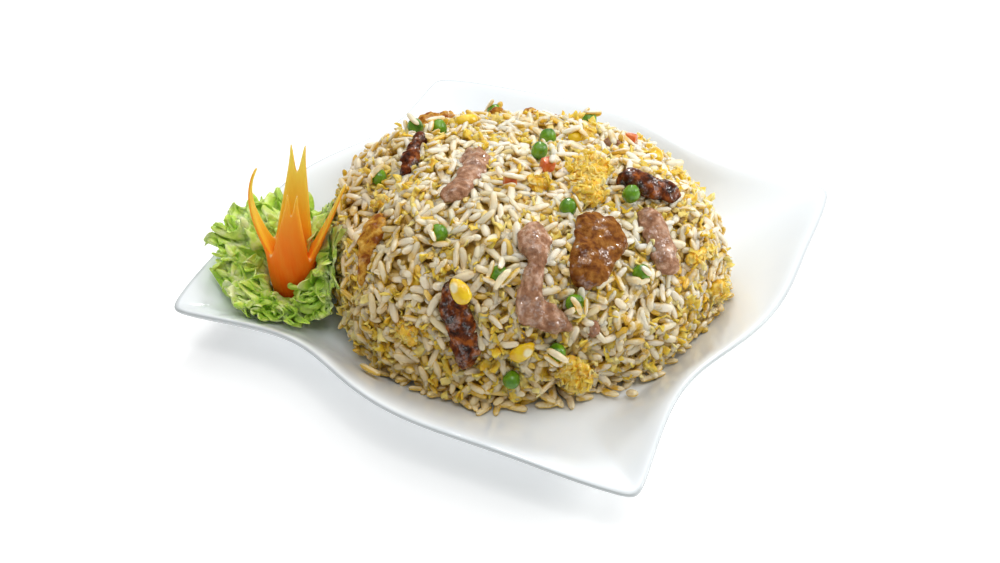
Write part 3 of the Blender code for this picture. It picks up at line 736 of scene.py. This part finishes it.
# %% Grains over the peas and dice
MOSTLY_HIDDEN = (
    "pea_5", "pea_6", "pea_7", "pea_9", "pea_10", "pea_11", "pea_12", "pea_13", "pea_14",
    "pea_15", "pea_16", "corn_3", "corn_6", "pork_back",
)
HALF_HIDDEN = ("pea_2", "pea_3", "carrot_dice_1", "carrot_dice_2", "corn_2", "corn_5")
HIDING_SEED = 8


def join_copies(name, originals):
    """One new piece from copies of these."""
    parts = [new_piece(name, original.data) for original in originals]
    choose(parts[0])
    for part in parts:
        part.select_set(True)
    bpy.ops.object.join()
    return parts[0]


chance = random.Random(HIDING_SEED)
hidden_middles = {name: sum(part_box(name), Vector()) / 2 for name in MOSTLY_HIDDEN + HALF_HIDDEN}
hidden_sides = {
    name: Vector((chance.uniform(0.2, 1), chance.uniform(-0.4, 1), 0)).normalized()
    for name in HALF_HIDDEN
}


def hiding_weight(place, normal):
    """How freely grains may lie over a topping that is to be hidden."""
    nearest = min(hidden_middles, key=lambda name: (hidden_middles[name] - place).length)
    outwards = ease(-0.1, 0.4, normal.dot((hidden_middles[nearest] - heap_middle).normalized()))
    if nearest in MOSTLY_HIDDEN:
        return outwards
    return outwards * ease(-0.1, 0.3, normal.dot(hidden_sides[nearest]))


hidden_nodes = [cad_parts[name] for name in hidden_middles]
hidden_ground = join_copies("hidden_ground", hidden_nodes)
add_weight(hidden_ground, "hiding", hiding_weight)
hiding = scatter(
    "rice_grains_hiding", hidden_ground, grains, "hiding",
    spacing=0.0032, seed=61, tilt=22, lift=(0.0001, 0.0009), sizes=(0.8, 1.0),
)
dress(hiding, plain_rice, "rice", "rice")
bpy.data.objects.remove(hidden_ground)

# %% [markdown]
# ## Grains round the foot
#
# Where the heap meets the plate, loose grains have slid off and lie flat. They are scattered on a
# narrow ring that follows the plate. The heap's foot is found by casting rays inwards just above
# the plate, and the grains get fewer away from it. A second layer is banked up against the heap,
# so that no gap is left under its edge.

# %% Grains on the plate
RING_WIDTH = 0.011
RING_INSET = 0.004
RING_STEPS = 240
GARNISH_SIDE = math.radians(177)
GARNISH_HALF = math.radians(24)
RAY_START = 0.12
RAY_LIFT = 0.0015
NEAR_FOOT = 0.078
USUAL_FOOT = 0.072
FEWEST = 0.03
FOOT_LAYERS = (  # name, weight, spacing, seed, tilt in degrees and lift
    ("rice_grains_foot", "ring", 0.0030, 53, 12, (0.0013, 0.0026)),
    ("rice_grains_bank", "bank", 0.0027, 59, 32, (0.0032, 0.0052)),
)


def foot_radius(angle):
    """Distance from the middle to the heap's foot."""
    outwards = Vector((math.cos(angle), math.sin(angle), 0))
    start = outwards * RAY_START
    start.z = plate_height(outwards.x * NEAR_FOOT, outwards.y * NEAR_FOOT) + RAY_LIFT
    hit = rice_tree.ray_cast(start, -outwards)[0]
    return hit.length if hit else USUAL_FOOT


bpy.ops.object.select_all(action="DESELECT")
bpy.ops.mesh.primitive_grid_add(x_subdivisions=RING_STEPS, y_subdivisions=8, size=1)
foot_ring = bpy.context.object
foot_ring.name = "foot_ring"
for vertex in foot_ring.data.vertices:
    angle, share = (vertex.co.x + 0.5) * 2 * math.pi, vertex.co.y + 0.5
    radius = foot_radius(angle) - RING_INSET + share * RING_WIDTH
    x, y = radius * math.cos(angle), radius * math.sin(angle)
    vertex.co = (x, y, plate_height(x, y))
edit(foot_ring, lambda: bpy.ops.mesh.remove_doubles(threshold=1e-6))


def beyond_foot(place):
    """Distance from the heap's foot, and whether the garnish lies here."""
    angle = math.atan2(place.y, place.x)
    off_garnish = abs((angle - GARNISH_SIDE + math.pi) % (2 * math.pi) - math.pi)
    beside_garnish = off_garnish < GARNISH_HALF
    return math.hypot(place.x, place.y) - foot_radius(angle), beside_garnish


def ring_weight(place, normal):
    beyond, beside_garnish = beyond_foot(place)
    return 0.0 if beside_garnish else max(ease(0.0028, 0.0004, beyond), FEWEST)


def bank_weight(place, normal):
    beyond, beside_garnish = beyond_foot(place)
    return 0.0 if beside_garnish else ease(0.0006, -0.0004, beyond)


add_weight(foot_ring, "ring", ring_weight)
add_weight(foot_ring, "bank", bank_weight)
edit(foot_ring, lambda: bpy.ops.mesh.normals_make_consistent(inside=False))
if foot_ring.data.polygons[0].normal.z < 0:
    edit(foot_ring, lambda: bpy.ops.mesh.flip_normals())
for name, *settings in FOOT_LAYERS:
    layer = scatter(name, foot_ring, grains, *settings)
    dress(layer, plain_rice, "rice", "rice")
bpy.data.objects.remove(foot_ring)

# %% [markdown]
# ## Meat
#
# The meat strips are already in place in the plain model, as smooth strips. Cooked meat has a
# grain that runs across the cut, a craggy edge and a wet skin. Each copy is subdivided, then
# pushed in and out twice, by large and small lumps. The finish carries the fine creases and the
# glints.

# %% Meat finishes
FACET_TILT = 0.8
FACET_IOR = 1.85


def vector_math(finish, operation, *values):
    """A vector made from others. A plain number stands for all three of its parts."""
    made = add_node(finish, "ShaderNodeVectorMath")
    made.operation = operation
    for value, socket in zip(values, made.inputs):
        if isinstance(value, float):
            socket.default_value = (value, value, value)
        else:
            link(finish, value, socket)
    return made.outputs[0]


def glints(finish, size, share_from, facets):
    """A wet skin in patches, cut into facets that each face their own way, so it sparkles."""
    wet = remap(finish, pattern(finish, size), share_from, share_from + 0.06)
    link(finish, wet, shader_of(finish).inputs["Coat Weight"])
    shader_of(finish).inputs["Coat IOR"].default_value = FACET_IOR
    place = add_node(finish, "ShaderNodeTexCoord")
    cells = add_node(finish, "ShaderNodeTexVoronoi", Scale=1 / facets)
    link(finish, place.outputs["Object"], cells.inputs["Vector"])
    normal = add_node(finish, "ShaderNodeNewGeometry").outputs["Normal"]
    tilted = vector_math(finish, "MULTIPLY_ADD", cells.outputs["Color"], FACET_TILT, normal)
    centred = vector_math(finish, "SUBTRACT", tilted, FACET_TILT / 2)
    facing = vector_math(finish, "NORMALIZE", centred)
    link(finish, facing, shader_of(finish).inputs["Coat Normal"])


def meat_finish(name, colours, roughness, scatter_share, grain, wet_from):
    """Grain is the size of the fibres, and less of the meat is wet the higher wet_from is."""
    dark, middle, light = colours
    finish = new_finish(
        name, middle, roughness, specular=0.1, coat_roughness=0.05, scatter=scatter_share
    )
    colour_by(finish, blend_colours(finish, pattern(finish, 0.0028, detail=8.0, distortion=0.3), (
        (0.36, dark),
        (0.52, middle),
        (0.66, light),
    )))
    relief(finish, grain, grain * 0.6, detail=6.0)
    glints(finish, 0.0040, wet_from, 0.0006)
    return finish


PORK_COLOURS = ((0.27, 0.125, 0.065), (0.42, 0.22, 0.125), (0.66, 0.43, 0.31))
BEEF_COLOURS = ((0.12, 0.030, 0.003), (0.25, 0.085, 0.011), (0.38, 0.16, 0.030))
DARK_BEEF_COLOURS = ((0.020, 0.004, 0.001), (0.13, 0.026, 0.003), (0.34, 0.09, 0.012))
GOLDEN_COLOURS = ((0.26, 0.07, 0.006), (0.54, 0.25, 0.025), (0.72, 0.44, 0.09))
pork_finish = meat_finish("glazed_pork", PORK_COLOURS, 0.45, 0.35, 0.0012, 0.50)
beef_finish = meat_finish("sauced_beef", BEEF_COLOURS, 0.55, 0.08, 0.0009, 0.54)
dark_beef_finish = meat_finish("dark_beef", DARK_BEEF_COLOURS, 0.45, 0.05, 0.0012, 0.50)
golden_meat = meat_finish("golden_meat", GOLDEN_COLOURS, 0.45, 0.25, 0.0014, 0.56)

# %% Meat strips
MEATS = (  # finish, slot and nodes
    (pork_finish, "pork", "pork_long pork_left pork_right pork_tip pork_back pork_rear"),
    (beef_finish, "beef", "beef_slice"),
    (dark_beef_finish, "beef", "beef_right beef_front beef_left"),
    (beef_finish, "beef", "beef_rear"),
    (golden_meat, "browned_strip", "strip_left strip_back_left strip_back strip_back_right"),
)
strips = [(name, finish, slot) for finish, slot, names in MEATS for name in names.split()]
for number, (node_name, finish, slot) in enumerate(strips):
    strip = copy_of(node_name, node_name + "_meat")
    subdivide(strip, 3)
    roughen(strip, 0.0065, 0.0036, seed=number * 0.1)
    roughen(strip, 0.0020, 0.0010, seed=number * 0.1 + 0.05)
    smooth(strip, 80)
    dress(strip, finish, slot, node_name)

# %% [markdown]
# ## Egg
#
# Scrambled egg breaks into frothy yellow clumps and thin torn shreds. The clumps are copies of
# the plain ones, roughened hard. The shreds start as small flat grids, which a cloud pattern
# crumples and a modifier curls, and a thin wall is added. They are scattered in patches over the
# heap, with more of them to the front left, and close together on the clumps, where they make the
# froth.

# %% Egg finish
egg_finish = new_finish(
    "scrambled_egg", (0.86, 0.62, 0.10), 0.38, coat=0.3, coat_roughness=0.12,
    scatter=0.6, reach=0.003,
)
egg_body = blend_colours(egg_finish, pattern(egg_finish, 0.003, detail=5.0), (
    (0.30, (0.88, 0.40, 0.008)),
    (0.50, (0.96, 0.57, 0.030)),
    (0.70, (0.98, 0.72, 0.17)),
))
paleness = remap(egg_finish, read_marks(egg_finish, "tone"), 0.5, 1.0)
colour_by(egg_finish, mix(egg_finish, paleness, egg_body, (0.98, 0.76, 0.28)))
relief(egg_finish, 0.0012, 0.0005)

# %% Egg clumps
egg_clumps = []
for number, node_name in enumerate(name for name in toppings if name.startswith("egg")):
    clump = copy_of(node_name, node_name + "_clump")
    subdivide(clump, 3)
    roughen(clump, 0.004, 0.0030, seed=number * 0.17)
    roughen(clump, 0.0014, 0.0012, seed=number * 0.17 + 0.06)
    smooth(clump, 80)
    dress(clump, egg_finish, "egg", node_name)
    egg_clumps.append(clump)

# %% Egg shreds
SHREDS = (  # length and width in millimetres, and curl in degrees
    ("long_shred", 7.5, 1.7, 80),
    ("wide_shred", 5.0, 3.2, 60),
    ("small_shred", 3.2, 2.0, 40),
)


def make_shred(name, length, width, curl):
    bpy.ops.object.select_all(action="DESELECT")
    bpy.ops.mesh.primitive_grid_add(x_subdivisions=6, y_subdivisions=3, size=MM, location=ORIGIN)
    shred = bpy.context.object
    shred.name = name
    edit(shred, lambda: bpy.ops.transform.resize(value=(length, width, 1), center_override=ORIGIN))
    roughen(shred, 0.0018, 0.0024, seed=curl * 0.01)
    bend_piece(shred, "Y", curl)
    apply_modifier(shred, "SOLIDIFY", thickness=0.0005, offset=0.0)
    bpy.ops.object.shade_smooth()
    return shred


shreds = [make_shred(*size) for size in SHREDS]
print("a shred has", len(shreds[0].data.polygons), "faces")

# %% Egg among the rice
PATCH_SIZE = 0.014
EGG_SIDE = math.radians(-125)


def egg_share(place, normal):
    """Egg lies in patches, with more of them to the front left and fewer on top."""
    patch = noise.noise(place / PATCH_SIZE + Vector((5.0, 1.0, 2.0)))
    facing = math.cos(math.atan2(place.y, place.x) - EGG_SIDE) * ease(0.062, 0.035, place.z)
    on_top = ease(0.056, 0.068, place.z)
    return room_at(place, normal) * ease(-0.25, 0.15, patch + 0.35 * facing - 0.30 * on_top)


add_weight(core, "egg_room", egg_share)
egg_shreds = scatter(
    "egg_shreds", core, shreds, "egg_room",
    spacing=0.0027, seed=41, tilt=45, lift=(0.0014, 0.0036), sizes=(0.7, 1.3), loose=1.0,
)
dress(egg_shreds, egg_finish, "egg")

# %% Froth on the clumps
def froth_weight(place, normal):
    """Froth stands on the outer side of a clump."""
    return ease(-0.3, 0.3, normal.dot((place - heap_middle).normalized()))


froth_ground = join_copies("froth_ground", egg_clumps)
add_weight(froth_ground, "froth", froth_weight)
egg_froth = scatter(
    "egg_froth", froth_ground, shreds, "froth",
    spacing=0.0019, seed=43, tilt=42, lift=(-0.0004, 0.0006), sizes=(0.45, 0.9), loose=1.0,
)
dress(egg_froth, egg_finish, "egg")
bpy.data.objects.remove(froth_ground)

# %% [markdown]
# ## Peas, corn and diced carrot
#
# These are the smallest things that are read one by one. A cooked pea is slightly dented where
# its skin has shrunk, a kernel of corn is plump with a pale tip, and a carrot die has soft edges.
# Copies of the plain ones are subdivided and lightly roughened, so that no two are quite alike.

# %% Vegetable finishes
pea_finish = new_finish(
    "cooked_pea", (0.07, 0.27, 0.012), 0.25, coat=0.4, coat_roughness=0.08, scatter=0.2
)
colour_by(pea_finish, blend_colours(pea_finish, pattern(pea_finish, 0.004), (
    (0.35, (0.045, 0.165, 0.001)),
    (0.62, (0.155, 0.36, 0.004)),
)))
relief(pea_finish, 0.0015, 0.0003)
corn_finish = new_finish(
    "sweetcorn", (0.80, 0.50, 0.02), 0.25, coat=0.35, coat_roughness=0.08, scatter=0.25
)
corn_body = blend_colours(corn_finish, pattern(corn_finish, 0.006), (
    (0.38, (0.76, 0.44, 0.004)),
    (0.66, (0.87, 0.62, 0.014)),
))
germ = read_marks(corn_finish, "germ")
colour_by(corn_finish, mix(corn_finish, germ, corn_body, (0.88, 0.80, 0.50)))
relief(corn_finish, 0.002, 0.0003)
dice_finish = new_finish(
    "diced_carrot", (0.72, 0.13, 0.012), 0.28, coat=0.5, coat_roughness=0.12, scatter=0.25
)
colour_by(dice_finish, blend_colours(dice_finish, pattern(dice_finish, 0.003), (
    (0.35, (0.60, 0.08, 0.005)),
    (0.65, (0.80, 0.22, 0.03)),
)))
relief(dice_finish, 0.001, 0.0002)

# %% Peas, corn and dice
GERM_ALONG = 0.0022
GERM_SIZE = 0.0019


def mark_germ(kernel):
    """Marks the pale germ: a spot on the kernel's outer face, towards its pinched end."""
    points = [vertex.co for vertex in kernel.data.vertices]
    middle = sum(points, Vector()) / len(points)
    axis = (max(points, key=lambda point: (point - middle).length) - middle).normalized()
    spread = [0.0, 0.0]
    for point in points:
        along = (point - middle).dot(axis)
        spread[along > 0] += ((point - middle) - axis * along).length
    if spread[1] > spread[0]:
        axis = -axis
    outwards = (middle - heap_middle).normalized()
    spot = middle + axis * GERM_ALONG

    def germ_share(place, normal):
        offset = place - spot
        outside = offset.dot(outwards) > 0
        flat = offset - outwards * offset.dot(outwards)
        return ease(GERM_SIZE, GERM_SIZE * 0.5, flat.length) * outside

    write_marks(kernel, "germ", germ_share)


SMALL = (  # first word, finish, slot and roughness in millimetres
    ("pea", pea_finish, "pea", 0.7),
    ("corn", corn_finish, "corn", 0.9),
    ("carrot_dice", dice_finish, "carrot_dice", 0.7),
)
for word, finish, slot, depth in SMALL:
    for number, node_name in enumerate(name for name in toppings if name.startswith(word)):
        small = copy_of(node_name, node_name + "_cooked")
        subdivide(small, 3)
        roughen(small, 0.004, depth * MM, seed=number * 0.13)
        smooth(small, 80)
        if word == "corn":
            mark_germ(small)
        dress(small, finish, slot, node_name)

# %% [markdown]
# ## Lettuce
#
# Frilly lettuce has more edge than its middle can hold flat, so the edge folds into waves and
# crumples. One big disc can't show that, because its waves run straight out like pleats. So the
# leaf is built from many fan-shaped lobes, each a grid bent round its root. A few big waves and
# crumples of two sizes grow towards a lobe's edge. They push it sideways as well as up, which
# makes it curl over. Tall lobes stand at the back and short ones lie in front, as far out and as
# high as the plain leaf does.

# %% Lobe shape
LEAF_CENTRE = Vector((-0.0872, 0.0045, 0))
LEAF_EDGE = (  # reach and rise in millimetres, every 45 degrees
    (27, 34), (33, 27), (33, 20), (31, 13), (22, 9), (19, 8), (17, 9), (20, 20),
)
LOBE_ROOT = 0.0050
LOBE_HALF = math.radians(48)
LOBE_COLUMNS = 130
LOBE_ROWS = 26
BIG_WAVES, BIG_WAVE = 3, 0.0026
CRUMPLES = (  # size and depth in metres, and the share of the lobe at which they start
    (0.0062, 0.0042, 0.15),
    (0.0024, 0.0036, 0.40),
)
WOBBLE = 0.10
LEAF_GAP = 0.0005
RIM_HEIGHT = 0.0220
LEAF_OFF_HEAP = 0.0040
CARROT_LOW = 0.0145
CARROT_RADIUS = 0.0062
CARROT_FLARE, FLARE_FROM, FLARE_HEIGHT = 0.16, 0.015, 0.022


def edge_value(angle, column):
    """The leaf's reach or rise in this direction, in metres."""
    spot = math.degrees(angle) % 360 / 45
    share = ease(0, 1, spot - int(spot))
    first, second = LEAF_EDGE[int(spot) % 8], LEAF_EDGE[(int(spot) + 1) % 8]
    return (first[column] * (1 - share) + second[column] * share) * MM


def leaf_ground(place):
    """Height of the plate below a point of the leaf. Past the rim it stays as high as the rim."""
    return plate_height(place.x, place.y) or RIM_HEIGHT


def keep_clear(place):
    """Moves a point of the leaf off the plate, the heap and the foot of the carrot."""
    foot = leaf_ground(place) + LEAF_GAP
    place.z = max(place.z, foot)
    from_carrot = Vector((place.x - LEAF_CENTRE.x, place.y - LEAF_CENTRE.y, 0))
    carrot = CARROT_RADIUS + CARROT_FLARE * max(0.0, min(place.z - FLARE_FROM, FLARE_HEIGHT))
    if from_carrot.length < carrot and place.z > CARROT_LOW:
        place += from_carrot.normalized() * (carrot - from_carrot.length)
    nearest, normal, _, _ = rice_tree.find_nearest(place)
    if (place - nearest).dot(normal) < LEAF_OFF_HEAP:
        place = nearest + normal * LEAF_OFF_HEAP
    return place


def lobe_point(turn, share, azimuth, size, height, seed):
    """A point of a lobe. Turn goes from -1 to 1 across it, and share from 0 at its root to 1."""
    here = azimuth + 0.8 * LOBE_HALF * turn
    reach, rise = edge_value(here, 0) * size - LOBE_ROOT, edge_value(here, 1) * height
    length, lean = math.hypot(reach, rise), math.atan2(rise, reach)
    outwards = Vector((math.cos(azimuth), math.sin(azimuth), 0))
    across = Vector((-outwards.y, outwards.x, 0))
    along = outwards * math.cos(lean) + Vector((0, 0, math.sin(lean)))
    normal = Vector((0, 0, math.cos(lean))) - outwards * math.sin(lean)
    wobble = noise.noise(Vector((turn * 2.5, share * 1.5, seed)))
    big = BIG_WAVES * math.pi * turn + seed + 2.0 * wobble
    grown = ease(0.15, 1.0, share)
    radius = length * (0.10 + 0.90 * share) * (1 + WOBBLE * wobble * share)
    radius -= grown * BIG_WAVE * 0.5 * math.cos(2 * big)
    aside = grown * BIG_WAVE * 0.9 * math.sin(2 * big)
    up = grown * BIG_WAVE * math.sin(big) + 0.10 * length * (turn * turn - share ** 3)
    flat = Vector((LOBE_HALF * turn * length, share * length, seed))
    for crumple_size, depth, start in CRUMPLES:
        push = noise.noise_vector(flat / crumple_size) * depth * ease(start, start + 0.5, share)
        aside, radius, up = aside + push.x, radius + push.y, up + push.z
    spread = LOBE_HALF * turn
    place = LEAF_CENTRE + outwards * LOBE_ROOT + across * (radius * math.sin(spread) + aside)
    place += along * radius * math.cos(spread) + normal * up
    place.z += leaf_ground(place) + 0.0012
    return keep_clear(place)


# %% Build the lobes
def make_lobe(azimuth, size, height, seed):
    bpy.ops.object.select_all(action="DESELECT")
    bpy.ops.mesh.primitive_grid_add(x_subdivisions=LOBE_COLUMNS, y_subdivisions=LOBE_ROWS, size=1)
    lobe = bpy.context.object
    edges = lobe.data.attributes.new("edge", "FLOAT", "POINT")
    for vertex in lobe.data.vertices:
        turn, share = vertex.co.x * 2, 1 - (0.5 - vertex.co.y) ** 1.6
        edges.data[vertex.index].value = share
        vertex.co = lobe_point(turn, share, azimuth, size, height, seed)
    apply_modifier(lobe, "SOLIDIFY", thickness=0.0004, offset=0.0)
    return lobe


def make_lobes(name, count, size, height, first_turn, seed):
    """A ring of lobes that reach and rise to these shares of the leaf's edge."""
    chance = random.Random(seed)
    lobes = []
    for number in range(count):
        azimuth = first_turn + 2 * math.pi * (number + chance.uniform(-0.2, 0.2)) / count
        vary = chance.uniform(0.88, 1.06)
        lobes.append(make_lobe(azimuth, size * vary, height * vary, chance.uniform(0, 20)))
    choose(lobes[0])
    for lobe in lobes:
        lobe.select_set(True)
    bpy.ops.object.join()
    lobes[0].name = name
    smooth(lobes[0], 80)
    return lobes[0]


# %% Lettuce finish and lobes
leaf_finish = new_finish(
    "frilly_lettuce", (0.60, 0.88, 0.16), 0.45, coat=0.25, coat_roughness=0.18, scatter=0.5
)
leaf_body = blend_colours(leaf_finish, pattern(leaf_finish, 0.006, detail=6.0), (
    (0.34, (0.36, 0.66, 0.04)),
    (0.50, (0.66, 0.92, 0.14)),
    (0.66, (0.86, 0.97, 0.44)),
))
leafiness = remap(leaf_finish, read_marks(leaf_finish, "edge"), 0.15, 0.75)
colour_by(leaf_finish, mix(leaf_finish, leafiness, (0.82, 0.90, 0.50), leaf_body))
relief(leaf_finish, 0.0012, 0.0004)
TIERS = (  # name, count, reach, rise, first turn and seed
    ("lettuce_outer", 11, 1.0, 0.8, 0.1, 5),
    ("lettuce_middle", 10, 0.78, 1.0, 0.3, 6),
    ("lettuce_inner", 8, 0.56, 1.1, 0.2, 7),
)
for tier in TIERS:
    dress(make_lobes(*tier), leaf_finish, "lettuce", "lettuce")

# %% [markdown]
# ## Carrot flower
#
# The flower is carved from the end of a carrot: hollowed, and cut down into four blades whose
# tips curl. The plain model has its form, so a copy is subdivided, with its cut edges kept sharp.
# The skin side is deep orange, the inside is paler and more yellow, as the core of a carrot is,
# and each sharp cut edge gets a pale line of painted highlight.

# %% Carrot flower
EDGE_HIGHLIGHT = 0.85
flower_low, flower_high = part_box("carrot_flower")
carrot_finish = new_finish(
    "carved_carrot", (0.85, 0.15, 0.003), 0.55, specular=0.12, scatter=0.7, reach=0.005
)
rising = place_share(carrot_finish, "Z", flower_low.z, flower_high.z)
skin = blend_colours(carrot_finish, rising, (
    (0.05, (0.80, 0.085, 0.001)),
    (0.35, (0.95, 0.175, 0.003)),
    (0.80, (0.97, 0.36, 0.03)),
))
inside = blend_colours(carrot_finish, rising, (
    (0.25, (0.92, 0.17, 0.003)),
    (0.45, (0.97, 0.48, 0.03)),
    (0.85, (0.98, 0.64, 0.11)),
))
fibres = pattern(carrot_finish, 0.0018, detail=5.0, stretch=(1, 1, 8))
streaks = remap(carrot_finish, fibres, 0.4, 0.8, 0.0, 0.3)
carved = mix(carrot_finish, read_marks(carrot_finish, "inner"), skin, inside)
streaked = mix(carrot_finish, streaks, carved, (0.95, 0.45, 0.05))
# The cut mark paints a pale highlight along each sharp edge.
cut = read_marks(carrot_finish, "cut")
colour_by(carrot_finish, mix(carrot_finish, cut, streaked, (0.96, 0.62, 0.30)))
relief(carrot_finish, 0.001, 0.0002, stretch=(1, 1, 6))
flower = copy_of("carrot_flower", "carrot_flower_carved")
subdivide(flower, 2)
smooth(flower, 50)


def inner_share(place, normal):
    outwards = Vector((place.x - LEAF_CENTRE.x, place.y - LEAF_CENTRE.y, 0)).normalized()
    return ease(0.25, -0.25, normal.dot(outwards))


write_marks(flower, "inner", inner_share)
# Each sharp edge gets a share of painted highlight.
edge_highlight_marks = flower.data.attributes.new("cut", "FLOAT", "POINT")
for polygon in flower.data.polygons:
    for index in polygon.vertices:
        bend = polygon.normal.dot(flower.data.vertices[index].normal)
        mark = edge_highlight_marks.data[index]
        mark.value = max(mark.value, ease(0.93, 0.80, bend) * EDGE_HIGHLIGHT)
dress(flower, carrot_finish, "carrot_flower", "carrot_flower")

# %% [markdown]
# ## Floor
#
# The floor is a plain pale disc, large enough to fill the picture. It glows a little, as a lit
# table does, so that shadows on it stay faint. It isn't part of the object.

# %% Floor
FLOOR_GLOW = 0.30
bpy.ops.object.select_all(action="DESELECT")
bpy.ops.mesh.primitive_circle_add(vertices=96, radius=6, fill_type="NGON", location=(0, 0, -0.0002))
floor = bpy.context.object
floor.name = "studio_floor"
floor_finish = new_finish("studio_floor", (0.95, 0.95, 0.95), 0.8, specular=0.1)
shader_of(floor_finish).inputs["Emission Color"].default_value = (1, 1, 1, 1)
shader_of(floor_finish).inputs["Emission Strength"].default_value = FLOOR_GLOW
floor.data.materials.append(floor_finish)

# %% [markdown]
# ## Clearing up
#
# The grain and shred models have done their work, and would show up as loose pieces at the
# origin, so they are removed.

# %% Clear up and finish
for model in grains + shreds:
    bpy.data.objects.remove(model)
